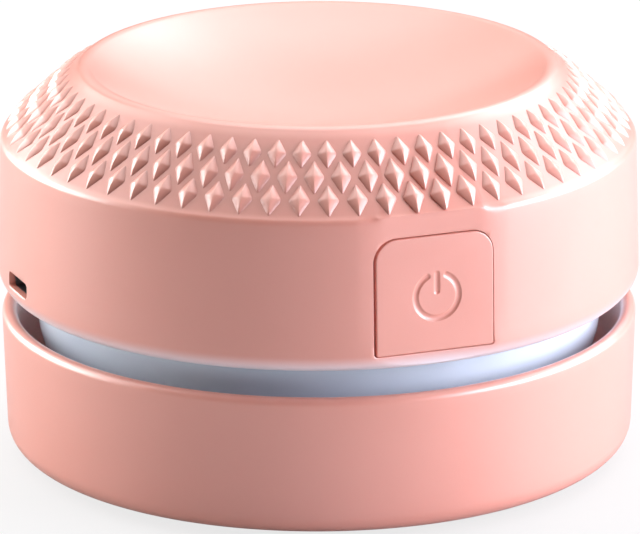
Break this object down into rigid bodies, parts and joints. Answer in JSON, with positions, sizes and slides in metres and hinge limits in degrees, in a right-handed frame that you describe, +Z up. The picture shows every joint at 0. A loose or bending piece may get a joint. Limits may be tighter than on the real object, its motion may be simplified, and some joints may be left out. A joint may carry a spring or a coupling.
{
  "type": "desktop mini vacuum cleaner",
  "caption": "Round coral-pink desktop mini vacuum cleaner: a head with knurled shoulder, dished top and power button stands on a base cup with a frosted dust bowl inside",
  "frame": {"origin": "on the table plane, at the centre of the four feet, below the axis of the round body", "axes": "+X to the right as the button side is seen, +Y to the back, away from the button side, +Z up along the body's axis"},
  "size_m": [0.0858, 0.0858, 0.053],
  "materials": {
    "pink_plastic": "gloss",
    "frosted_plastic": "satin",
    "white_plastic": "satin",
    "black_plastic": "satin",
    "bristle": "satin",
    "filter_cloth": "matte",
    "rubber": "matte",
    "steel": "satin",
    "cell_sleeve": "gloss",
    "circuit_board": "satin"
  },
  "bodies": {
    "base": {"base_cup": "pink_plastic", "dust_bowl": "frosted_plastic", "brush_front": "bristle", "brush_right": "bristle", "brush_back": "bristle", "brush_left": "bristle", "feet": "rubber", "base_screws": "steel"},
    "head": {"top_housing": "pink_plastic", "chassis_plate": "white_plastic", "seal_ring": "rubber", "filter_frame": "frosted_plastic", "filter_mesh": "filter_cloth", "motor_mount": "white_plastic", "motor_can": "steel", "motor_end_cap": "black_plastic", "motor_screws": "steel", "housing_screws": "steel", "battery_cell": "cell_sleeve", "charging_board": "circuit_board", "charging_socket": "steel", "socket_tongue": "black_plastic", "switch_board": "circuit_board", "switch_body": "black_plastic"},
    "button": {"power_button": "pink_plastic", "switch_plunger": "white_plastic"},
    "fan": {"impeller": "white_plastic", "motor_shaft": "steel"}
  },
  "joints": [
    {"name": "head_lift", "type": "slide", "parent": "base", "child": "head", "axis": [0, 0, 1], "range_m": [0, 0.04]},
    {"name": "button_press", "type": "slide", "parent": "head", "child": "button", "axis": [-0.3518, 0.9361, 0], "range_m": [0, 0.0006], "stiffness_N_per_m": 3000},
    {"name": "fan_spin", "type": "hinge", "parent": "head", "child": "fan", "pos_m": [0, 0, 0.03], "axis": [0, 0, 1], "continuous": true}
  ]
}
